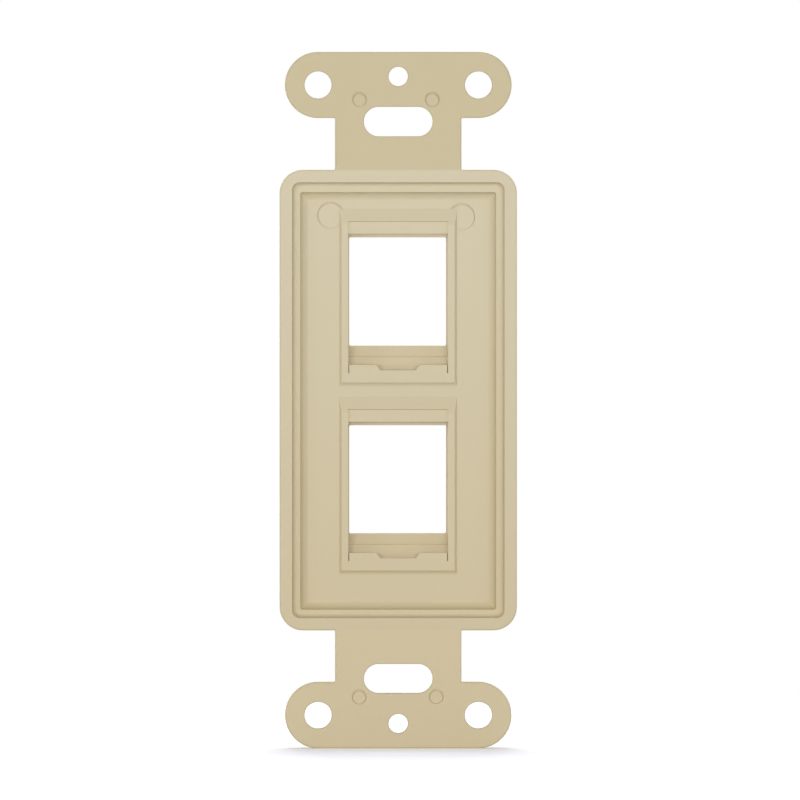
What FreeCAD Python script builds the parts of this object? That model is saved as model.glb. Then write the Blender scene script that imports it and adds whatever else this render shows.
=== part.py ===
import FreeCAD, Part
import os
from math import cos, radians, sin, tan

# Strap insert with two keystone jack ports, for the rectangular window of a wall plate.
# It is one plastic moulding. Sizes are in millimetres.
# The strap's wall side is the plane y = 0, with the origin midway between its box slots.
# X runs across the strap, Z up along it, and the room side looks towards -Y.

# Strap with a rounded ear at each end
strap_thickness = 2.4
neck_width = 18.9
neck_corner_radius = 0.2
cover_screw_spacing = 96.84
cover_screw_hole_diameter = 2.9
ear_radius = 4.95
ear_setback = 1.27
ear_hole_spacing_x = 24.0
ear_hole_diameter = 4.05
box_slot_setback = 6.75
box_slot_length = 10.3
box_slot_height = 4.4

# Flange that lies behind the wall plate, with a ledge and a shallow recess on its wall side
flange_width = 35.5
flange_height = 68.9
flange_corner_radius = 3.5
rim_side = 2.12
rim_end = 2.12
ledge_side = 1.24
ledge_end = 1.35
ledge_corner_radius = 1.2
ledge_depth = 1.1
ledge_step_slope = 0.28
ledge_foot_radius = 0.5
recess_corner_radius = 0.35
recess_depth = 2.5
recess_step_slope = 0.27
recess_foot_radius = 1.1
recess_drop = 0.13

# Front body that fills the window of the wall plate
body_setback_side = 1.25
body_setback_end = 1.3
body_corner_radius = 1.5
body_draft_angle = 0.5
front_edge_radius = 0.8

# Keystone port: the heights are measured up from the lower edge of the front opening,
# and the depths back from the front face
port_gap = 1.87
ports_raise = 1.415
opening_width = 14.55
opening_height = 16.3
opening_corner_radius = 0.25
opening_edge_chamfer = 0.25
front_wall = 4.0
chamber_side_room = 0.19
port_depth = 9.6
catch_front_depth = 8.2

# Latch side of the port, below the opening
latch_shelf_drop = 1.57
latch_shelf_rise = 1.2
latch_shelf_chamfer = 0.1
latch_catch_drop = 2.75
latch_catch_side_gap = 0.15
latch_pocket_drop = 3.97
latch_notch_tip_width = 6.5
latch_notch_root_width = 5.3
latch_notch_depth = 0.82

# Hook side of the port, above the opening
hook_pocket_depth = 6.5
hook_pocket_rise = 2.0
hook_catch_rise = 0.57
hook_step_rise = 2.5
hook_step_slope = 0.15
hook_step_depth = 0.35

# Walls of the port that stand up from the recess floor
port_wall_side = 1.34
port_wall_latch = 1.68
port_wall_hook = 1.83
port_wall_proud = 0.4
port_wall_ramp = 2.4
port_wall_slope = 0.35
port_wall_latch_slope = 0.25
port_foot_radius = 0.7

# Softened edges
strap_edge_chamfer = 0.1
hole_edge_chamfer = 0.1

# Marks of the ejector pins: each pin's end sat askew, so that it left a crescent groove
ear_pin_diameter = 2.2
ear_pin_groove = 0.36
ear_pin_depth = 0.35
floor_pin_diameter = 4.0
floor_pin_groove = 0.3
floor_pin_depth = 0.35
pin_askew = 0.12

# Places of the pins: on the ears the distance across, the end and the distance in from the ear's
# centre, and on the recess floor the side and the distances in from the recess's upper corner
ear_pin_insets = ((5.80, 1, 2.15), (-5.09, 1, 2.15), (5.85, -1, 2.75), (-5.68, -1, 2.80))
floor_pin_insets = ((1, 4.28, 3.17), (-1, 4.87, 3.40))

# Widths and heights that follow from the sizes above
ear_z = cover_screw_spacing / 2 - ear_setback
box_slot_z = cover_screw_spacing / 2 - box_slot_setback
ledge_width = flange_width - 2 * rim_side
ledge_height = flange_height - 2 * rim_end
recess_width = ledge_width - 2 * ledge_side
recess_height = ledge_height - 2 * ledge_end
body_width = flange_width - 2 * body_setback_side
body_height = flange_height - 2 * body_setback_end
inner_width = opening_width + 2 * chamber_side_room
port_wall_foot = latch_pocket_drop + port_wall_latch
port_wall_head = opening_height + hook_step_rise + port_wall_hook
port_wall_height = port_wall_foot + port_wall_head
port_pitch = port_wall_height + port_gap
lower_port_z = ports_raise - (port_pitch + port_wall_height) / 2 + port_wall_foot

# Depths along Y that follow from the sizes above
floor_y = -recess_depth
port_rear_y = floor_y + port_wall_proud
front_y = port_rear_y - port_depth


def outline(width, height, radius, y, centre_z=0.0):
    """Wire of a rounded rectangle across the part at depth y; a full radius makes a slot."""
    half_x = width / 2 - radius
    half_z = height / 2 - radius
    corners = ((half_x, half_z, 0), (-half_x, half_z, 90), (-half_x, -half_z, 180), (half_x, -half_z, 270))
    arcs = []
    for corner_x, corner_z, start in corners:
        angles = [radians(start + turn) for turn in (0, 45, 90)]
        points = [FreeCAD.Vector(corner_x + radius * cos(a), y, centre_z + corner_z + radius * sin(a))
                  for a in angles]
        arcs.append(Part.Arc(*points).toShape())
    edges = []
    for arc, following in zip(arcs, arcs[1:] + arcs[:1]):
        edges.append(arc)
        end = arc.lastVertex().Point
        start = following.firstVertex().Point
        if end.distanceToPoint(start) > 1e-6:
            edges.append(Part.makeLine(end, start))
    return Part.Wire(Part.sortEdges(edges)[0])


def slab(width, height, radius, y_front, y_rear, centre_z=0.0):
    """Rounded rectangle extruded from y_front to y_rear."""
    face = Part.Face(outline(width, height, radius, y_front, centre_z))
    return face.extrude(FreeCAD.Vector(0, y_rear - y_front, 0))


def wedge(width, height, y_narrow, y_wide, growth):
    """Block whose outline grows by the growth on every side from y_narrow to y_wide."""
    x = width / 2
    z = height / 2
    return Part.makeWedge(-x, y_narrow, -z, -z - growth, -x - growth, x, y_wide, z, z + growth, x + growth)


def tapered_block(width, height, radius, y_narrow, y_wide, growth):
    """Wedge with rounded corners."""
    block = wedge(width, height, y_narrow, y_wide, growth)
    corners = [edge for edge in block.Edges if edge.BoundBox.YLength > 0.001]
    return block.makeFillet(radius, corners)


def pin(diameter, x, z, y_front, y_rear):
    """Round bar along Y."""
    base = FreeCAD.Vector(x, y_front, z)
    return Part.makeCylinder(diameter / 2, y_rear - y_front, base, FreeCAD.Vector(0, 1, 0))


def pin_mark(diameter, groove, x, z, surface_y, depth):
    """Crescent groove that an ejector pin left in a surface, widest at its upper side."""
    low_y = surface_y - depth
    pin_end = pin(diameter - groove, x, z - pin_askew, low_y - 1, 2)
    return pin(diameter, x, z, low_y, 1).cut(pin_end)


def edges_inside(shape, x_reach, z_low, z_high, y_low, y_high):
    """Edges of the shape that lie whole in the box, which is centred on x = 0."""
    margin = 0.01
    box = FreeCAD.BoundBox(-x_reach - margin, y_low - margin, z_low - margin,
                           x_reach + margin, y_high + margin, z_high + margin)
    return [edge for edge in shape.Edges if box.isInside(edge.BoundBox)]


def make_strap():
    """Strap, ears and flange: one flat plate with softened outer edges."""
    plate = slab(flange_width, flange_height, flange_corner_radius, -strap_thickness, 0)
    for side in (1, -1):
        ear_width = ear_hole_spacing_x + 2 * ear_radius
        ear = slab(ear_width, 2 * ear_radius, ear_radius, -strap_thickness, 0, side * ear_z)
        low, high = sorted((0, side * ear_z))
        neck = Part.makeBox(neck_width, strap_thickness, high - low,
                            FreeCAD.Vector(-neck_width / 2, -strap_thickness, low))
        plate = plate.fuse([ear, neck])
    plate = plate.removeSplitter()
    corners = [edge for edge in plate.Edges
               if abs(abs(edge.CenterOfMass.x) - neck_width / 2) < 0.001
               and edge.BoundBox.ZLength < 0.001]
    plate = plate.makeFillet(neck_corner_radius, corners)
    rims = [edge for edge in plate.Edges if edge.BoundBox.YLength < 0.001]
    return plate.makeChamfer(strap_edge_chamfer, rims)


def make_front_body():
    """Body in front of the flange, drafted towards the room, with rounded corners and front edge."""
    rear_y = -strap_thickness / 2
    inset = (rear_y - front_y) * tan(radians(body_draft_angle))
    body = tapered_block(body_width - 2 * inset, body_height - 2 * inset, body_corner_radius,
                         front_y, rear_y, inset)
    rim = edges_inside(body, body_width, -body_height, body_height, front_y, front_y)
    return body.makeFillet(front_edge_radius, rim)


def make_recess():
    """Ledge and recess in the wall side, one inside the other, with sloped steps that end in rounded feet."""
    ledge = tapered_block(ledge_width, ledge_height, ledge_corner_radius,
                          -ledge_depth, ledge_depth, 2 * ledge_step_slope)
    foot = edges_inside(ledge, ledge_width, -ledge_height, ledge_height, -ledge_depth, -ledge_depth)
    ledge = ledge.makeFillet(ledge_foot_radius, foot)
    depths = (floor_y, floor_y + 2 * (recess_depth - ledge_depth))
    recess = tapered_block(recess_width, recess_height, recess_corner_radius, *depths, 2 * recess_step_slope)
    long = 2 * recess_height
    for width, height in ((recess_width, long), (long, recess_height)):
        trough = wedge(width, height, *depths, 2 * recess_step_slope)
        foot = [edge for edge in trough.Edges if abs(edge.Length - long) < 0.001]
        recess = recess.common(trough.makeFillet(recess_foot_radius, foot))
    recess.translate(FreeCAD.Vector(0, 0, -recess_drop))
    return [ledge, recess]


def make_port_walls(port_z):
    """Block around a port that stands up from the recess floor: ramp above, rounded foot below, sloped sides."""
    low = port_z - port_wall_foot
    toe = low - port_foot_radius
    high = port_z + port_wall_head
    half_width = inner_width / 2 + port_wall_side
    base_y = front_y + front_wall
    section = ((base_y, toe), (floor_y, toe), (floor_y, low), (port_rear_y, low + port_wall_latch_slope),
               (port_rear_y, high - port_wall_ramp), (floor_y, high), (base_y, high))
    points = [FreeCAD.Vector(-half_width, y, z) for y, z in section]
    block = Part.Face(Part.makePolygon(points + points[:1])).extrude(FreeCAD.Vector(2 * half_width, 0, 0))
    foot = edges_inside(block, half_width, low, low, floor_y, floor_y)
    block = block.makeFillet(port_foot_radius, foot)
    sides = [edge for edge in block.Edges
             if abs(edge.CenterOfMass.y - port_rear_y) < 0.001
             and abs(abs(edge.CenterOfMass.x) - half_width) < 0.001]
    return block.makeChamfer(port_wall_slope, sides)


def make_port_cavity(port_z):
    """Room for one jack: opening, latch shelf, catch lip with its notch and side gaps, and hook pocket."""
    def place(x, depth, height):
        return FreeCAD.Vector(x, front_y + depth, port_z + height)

    shelf_depth = front_wall + latch_shelf_rise
    hook_wall = opening_height
    section = (
        (front_wall, -latch_shelf_drop),
        (shelf_depth - latch_shelf_chamfer, -latch_shelf_drop),
        (shelf_depth, -latch_shelf_drop - latch_shelf_chamfer),
        (shelf_depth, -latch_pocket_drop),
        (catch_front_depth, -latch_pocket_drop),
        (catch_front_depth, -latch_catch_drop),
        (port_depth + 1, -latch_catch_drop),
        (port_depth + 1, hook_wall + hook_step_rise),
        (port_depth, hook_wall + hook_step_rise),
        (port_depth - hook_step_depth, hook_wall + hook_step_rise - hook_step_slope),
        (port_depth - hook_step_depth, hook_wall + hook_catch_rise),
        (catch_front_depth, hook_wall + hook_catch_rise),
        (catch_front_depth, hook_wall + hook_pocket_rise),
        (hook_pocket_depth, hook_wall + hook_pocket_rise),
        (hook_pocket_depth, hook_wall),
        (front_wall, hook_wall),
    )
    points = [place(-inner_width / 2, depth, height) for depth, height in section]
    chamber = Part.Face(Part.makePolygon(points + points[:1])).extrude(FreeCAD.Vector(inner_width, 0, 0))
    opening = slab(opening_width, opening_height, opening_corner_radius, front_y - 1,
                   front_y + front_wall + 1, port_z + opening_height / 2)
    notch_root = -latch_catch_drop - latch_notch_depth
    notch_corners = (
        (latch_notch_tip_width / 2, -latch_catch_drop),
        (latch_notch_root_width / 2, notch_root),
        (-latch_notch_root_width / 2, notch_root),
        (-latch_notch_tip_width / 2, -latch_catch_drop),
    )
    points = [place(x, catch_front_depth - 0.5, height) for x, height in notch_corners]
    notch = Part.Face(Part.makePolygon(points + points[:1])).extrude(FreeCAD.Vector(0, port_depth, 0))
    lip_depth = catch_front_depth - 0.5
    gaps = [Part.makeBox(latch_catch_side_gap, port_depth - lip_depth + 1, latch_pocket_drop,
                         place(x, lip_depth, -latch_pocket_drop))
            for x in (-inner_width / 2, inner_width / 2 - latch_catch_side_gap)]
    return chamber.fuse([opening, notch] + gaps)


def soften_port_opening(shape, port_z):
    """Chamfer the front edge of a port's opening."""
    rim = edges_inside(shape, opening_width / 2, port_z, port_z + opening_height, front_y, front_y)
    return shape.makeChamfer(opening_edge_chamfer, rim)


def make_screw_holes():
    """Cover screw holes, box screw slots and ear holes, through the strap."""
    y_front = -strap_thickness - 1
    holes = []
    for side in (1, -1):
        holes.append(pin(cover_screw_hole_diameter, 0, side * cover_screw_spacing / 2, y_front, 1))
        holes.append(slab(box_slot_length, box_slot_height, box_slot_height / 2, y_front, 1,
                          side * box_slot_z))
        for x in (-ear_hole_spacing_x / 2, ear_hole_spacing_x / 2):
            holes.append(pin(ear_hole_diameter, x, side * ear_z, y_front, 1))
    return holes


def hole_rims(shape):
    """Edges of the holes and slots in both faces of the strap's ends."""
    rims = []
    x_reach = ear_hole_spacing_x / 2 + ear_hole_diameter / 2
    z_low = box_slot_z - box_slot_height / 2
    z_high = ear_z + ear_radius
    for y in (0, -strap_thickness):
        rims += edges_inside(shape, x_reach, z_low, z_high, y, y)
        rims += edges_inside(shape, x_reach, -z_high, -z_low, y, y)
    return rims


def make_insert():
    """The whole moulding."""
    insert = make_strap().fuse(make_front_body())
    floor_marks = [pin_mark(floor_pin_diameter, floor_pin_groove, side * (recess_width / 2 - inset_x),
                            recess_height / 2 - recess_drop - inset_z, floor_y, floor_pin_depth)
                   for side, inset_x, inset_z in floor_pin_insets]
    insert = insert.cut(make_recess()).cut(floor_marks)
    port_places = [lower_port_z, lower_port_z + port_pitch]
    insert = insert.fuse([make_port_walls(z) for z in port_places])
    insert = insert.cut([make_port_cavity(z) for z in port_places])
    insert = insert.cut(make_screw_holes())
    insert = insert.removeSplitter()

    insert = insert.makeChamfer(hole_edge_chamfer, hole_rims(insert))
    for port_z in port_places:
        insert = soften_port_opening(insert, port_z)
    ear_marks = [pin_mark(ear_pin_diameter, ear_pin_groove, x, end * (ear_z - inset_z), 0, ear_pin_depth)
                 for x, end, inset_z in ear_pin_insets]
    return insert.cut(ear_marks)


os.makedirs("parts", exist_ok=True)
make_insert().exportStep("parts/keystone_insert.step")
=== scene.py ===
from math import radians, sin, cos

import bpy
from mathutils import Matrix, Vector


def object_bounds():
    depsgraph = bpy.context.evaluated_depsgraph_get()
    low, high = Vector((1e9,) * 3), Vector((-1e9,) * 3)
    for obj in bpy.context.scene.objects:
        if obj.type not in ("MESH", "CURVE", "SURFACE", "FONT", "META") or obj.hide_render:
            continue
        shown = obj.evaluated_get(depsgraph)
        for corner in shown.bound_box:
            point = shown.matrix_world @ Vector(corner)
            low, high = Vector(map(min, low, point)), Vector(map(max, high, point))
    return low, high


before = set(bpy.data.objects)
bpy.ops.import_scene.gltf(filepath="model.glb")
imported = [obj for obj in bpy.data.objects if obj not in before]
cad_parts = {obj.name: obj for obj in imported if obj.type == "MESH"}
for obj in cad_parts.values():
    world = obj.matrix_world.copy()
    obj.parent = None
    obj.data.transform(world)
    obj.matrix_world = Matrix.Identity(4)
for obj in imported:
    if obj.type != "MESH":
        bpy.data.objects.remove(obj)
size_of_part = [list(corner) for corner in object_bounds()]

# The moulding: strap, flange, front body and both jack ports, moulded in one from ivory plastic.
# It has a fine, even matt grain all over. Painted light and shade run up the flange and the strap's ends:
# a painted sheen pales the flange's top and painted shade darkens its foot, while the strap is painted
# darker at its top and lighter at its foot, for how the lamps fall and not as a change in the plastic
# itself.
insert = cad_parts["keystone_insert"]
half_height = 0.03445
# Painted light and shade: a painted sheen at the flange's top and painted shade at its foot; the strap's
# ends painted darker at the top and lighter at the foot.
painted_sheen_flange_top, painted_shade_flange_foot = (0.704, 0.617, 0.422, 1), (0.654, 0.553, 0.346, 1)
painted_shade_strap_top, painted_light_strap_foot = (0.629, 0.532, 0.320, 1), (0.676, 0.565, 0.342, 1)
join_softness = 0.00015
grain_size, grain_detail = 0.00016, 2
grain_height, grain_strength = 0.000006, 0.4
cloud_size, cloud_detail, cloud_strength = 0.012, 3, 0.015
matt, matt_spread = 0.46, 0.05
gloss = 0.4


def moulded_ivory():
    """Ivory plastic: painted light and shade that part at the flange's edge, faint clouds and a fine
    grain.

    shade = mix(mix(painted_shade_flange_foot, painted_sheen_flange_top, u), mix(painted_light_strap_foot,
    painted_shade_strap_top, u), s), where u runs from
    0 to 1 up the flange and s from 0 to 1 over the join at |z| = half_height."""
    material = bpy.data.materials.new("moulded_ivory")
    material.use_nodes = True
    nodes, links = material.node_tree.nodes, material.node_tree.links
    shader = nodes["Principled BSDF"]
    place = nodes.new("ShaderNodeTexCoord")

    def noise(size, detail):
        """Noise in the insert's own coordinates, with its largest cells of the given size."""
        texture = nodes.new("ShaderNodeTexNoise")
        texture.inputs["Scale"].default_value = 1 / size
        texture.inputs["Detail"].default_value = detail
        links.new(place.outputs["Object"], texture.inputs["Vector"])
        return texture.outputs[0]

    def spread(value, middle, reach):
        """Value from 0 to 1 laid over the span from middle - reach to middle + reach."""
        span = nodes.new("ShaderNodeMapRange")
        span.inputs["To Min"].default_value = middle - reach
        span.inputs["To Max"].default_value = middle + reach
        links.new(value, span.inputs["Value"])
        return span.outputs["Result"]

    def step(value, start, end):
        """0 up to start, 1 from end on, and even in between."""
        span = nodes.new("ShaderNodeMapRange")
        span.inputs["From Min"].default_value = start
        span.inputs["From Max"].default_value = end
        links.new(value, span.inputs["Value"])
        return span.outputs["Result"]

    def blend(low, high, amount):
        """Mix of two colours, each given as a value or as another node's output."""
        mix = nodes.new("ShaderNodeMix")
        mix.data_type = "RGBA"
        for socket, value in ((6, low), (7, high)):
            if isinstance(value, tuple):
                mix.inputs[socket].default_value = value
            else:
                links.new(value, mix.inputs[socket])
        links.new(amount, mix.inputs[0])
        return mix.outputs[2]

    parts = nodes.new("ShaderNodeSeparateXYZ")
    links.new(place.outputs["Object"], parts.inputs[0])
    height = nodes.new("ShaderNodeMath")
    height.operation = "ABSOLUTE"
    links.new(parts.outputs["Z"], height.inputs[0])
    # Painted light and shade that follow the height: paler up the flange, darker up the strap's ends.
    rise = step(parts.outputs["Z"], -half_height, half_height)
    strap = step(height.outputs[0], half_height - join_softness, half_height + join_softness)
    shade = blend(blend(painted_shade_flange_foot, painted_sheen_flange_top, rise), blend(painted_light_strap_foot, painted_shade_strap_top, rise), strap)

    clouded = nodes.new("ShaderNodeVectorMath")
    clouded.operation = "SCALE"
    links.new(shade, clouded.inputs[0])
    links.new(spread(noise(cloud_size, cloud_detail), 1, cloud_strength), clouded.inputs["Scale"])
    links.new(clouded.outputs["Vector"], shader.inputs["Base Color"])

    grain = noise(grain_size, grain_detail)
    bump = nodes.new("ShaderNodeBump")
    bump.inputs["Strength"].default_value = grain_strength
    bump.inputs["Distance"].default_value = grain_height
    links.new(grain, bump.inputs["Height"])
    links.new(bump.outputs["Normal"], shader.inputs["Normal"])
    links.new(spread(grain, matt, matt_spread), shader.inputs["Roughness"])
    shader.inputs["Specular IOR Level"].default_value = gloss
    return material


insert.data.materials.clear()
insert.data.materials.append(moulded_ivory())


# Table and background: the sheet of white paper that the insert stands on, which ends 0.2 m behind
# it, and white beyond. Bare paper is lifted to just white, and slightly cool, for camera, reflections
# and glass, while the diffuse light that it gives the insert stays plain. The foot's shadow stays.
floor_height = size_of_part[0][2]
sheet_side, sheet_back, sheet_front = 2.0, -0.2, 2.0
paper = (0.5, 0.5, 0.5, 1)
paper_for_camera = (1.46, 1.49, 1.59, 1)
room_light, white_for_camera = 0.397, 1.0


def seen_or_mirrored(nodes, links):
    """1 for rays from the camera, off a reflection or through glass, else 0: the largest of the three."""
    path = nodes.new("ShaderNodeLightPath")
    largest = path.outputs["Is Camera Ray"]
    for ray in ("Is Glossy Ray", "Is Transmission Ray"):
        larger = nodes.new("ShaderNodeMath")
        larger.operation = "MAXIMUM"
        links.new(largest, larger.inputs[0])
        links.new(path.outputs[ray], larger.inputs[1])
        largest = larger.outputs[0]
    return largest


def paper_floor():
    """Matt paper: plain for the insert's diffuse light, brighter for camera, reflections and glass."""
    material = bpy.data.materials.new("white_paper")
    material.use_nodes = True
    nodes, links = material.node_tree.nodes, material.node_tree.links
    shader = nodes["Principled BSDF"]
    shade = nodes.new("ShaderNodeMix")
    shade.data_type = "RGBA"
    shade.inputs[6].default_value = paper
    shade.inputs[7].default_value = paper_for_camera
    links.new(seen_or_mirrored(nodes, links), shade.inputs[0])
    links.new(shade.outputs[2], shader.inputs["Base Color"])
    shader.inputs["Roughness"].default_value = 1.0
    shader.inputs["Specular IOR Level"].default_value = 0.0
    return material


floor_mesh = bpy.data.meshes.new("white_floor")
floor_mesh.from_pydata([(-sheet_side, sheet_back, floor_height), (sheet_side, sheet_back, floor_height),
                        (sheet_side, sheet_front, floor_height), (-sheet_side, sheet_front, floor_height)],
                       [], [(0, 1, 2, 3)])
floor_mesh.materials.append(paper_floor())
floor = bpy.data.objects.new("white_floor", floor_mesh)
bpy.context.scene.collection.objects.link(floor)


def soft_room():
    """World light: room_light for diffuse light, and white for camera, reflections and glass."""
    world = bpy.data.worlds.new("soft_room")
    bpy.context.scene.world = world
    world.use_nodes = True
    nodes, links = world.node_tree.nodes, world.node_tree.links
    level = nodes.new("ShaderNodeMapRange")
    level.inputs["To Min"].default_value = room_light
    level.inputs["To Max"].default_value = white_for_camera
    links.new(seen_or_mirrored(nodes, links), level.inputs["Value"])
    links.new(level.outputs["Result"], nodes["Background"].inputs["Strength"])
    nodes["Background"].inputs["Color"].default_value = (1, 1, 1, 1)


soft_room()


# Lamps: a low, wide softbox in front gives the even tone of the face, and two weak ones stand left
# and right of it. Two stronger ones behind light the plain room side and the edges. All five hang
# just above the sheet's level. A narrow one hangs overhead, a little behind the insert: it lights
# the sheet but not the face, and gives the soft shadow under the strap's foot.
def softbox(name, place, size, power):
    """Oblong area lamp, size being its width and height, aimed at the insert's centre."""
    lamp = bpy.data.lights.new(name, "AREA")
    lamp.shape = "RECTANGLE"
    lamp.size, lamp.size_y = size
    lamp.energy = power
    holder = bpy.data.objects.new(name, lamp)
    bpy.context.scene.collection.objects.link(holder)
    holder.location = place
    holder.rotation_euler = (-Vector(place)).to_track_quat("-Z", "Y").to_euler()


low_rise, low_size = 0.035, (0.5, 0.16)
softbox("front_softbox", (0.05, 1.2, low_rise), low_size, 5.4)
softbox("left_softbox", (0.9, 0.8, low_rise), low_size, 1.2)
softbox("right_softbox", (-0.9, 0.8, low_rise), low_size, 0.75)
softbox("rear_left_softbox", (0.9, -0.8, low_rise), low_size, 3.5)
softbox("rear_right_softbox", (-0.9, -0.8, low_rise), low_size, 3.5)
softbox("overhead_softbox", (0.0, -0.36, 0.92), (0.25, 0.7), 3.8)


# Camera: behind the insert on a long lens, almost straight on, a little above the level and a
# little to the left, so that the front of each opening shows a hair left of its back.
camera_distance = 3.0
camera_rise = radians(1.0)
camera_turn = radians(0.64)
sensor_width = 36
sight_limit = 50
picture_pixels = 800
pixels_per_metre = 6685
centre_right, centre_down = 398.3, 400.2
lens = bpy.data.cameras.new("camera")
camera = bpy.data.objects.new("camera", lens)
bpy.context.scene.collection.objects.link(camera)
bpy.context.scene.camera = camera
lens.sensor_width = sensor_width
lens.lens = sensor_width * camera_distance * pixels_per_metre / picture_pixels
lens.clip_end = sight_limit
level_out = cos(camera_rise)
way_out = Vector((sin(camera_turn) * level_out, cos(camera_turn) * level_out, sin(camera_rise)))
facing = (-way_out).to_track_quat("-Z", "Y")
aside = facing @ Vector((picture_pixels / 2 - centre_right, centre_down - picture_pixels / 2, 0))
camera.location = way_out * camera_distance + aside / pixels_per_metre
camera.rotation_euler = facing.to_euler()

bpy.context.scene.view_settings.view_transform = "Standard"
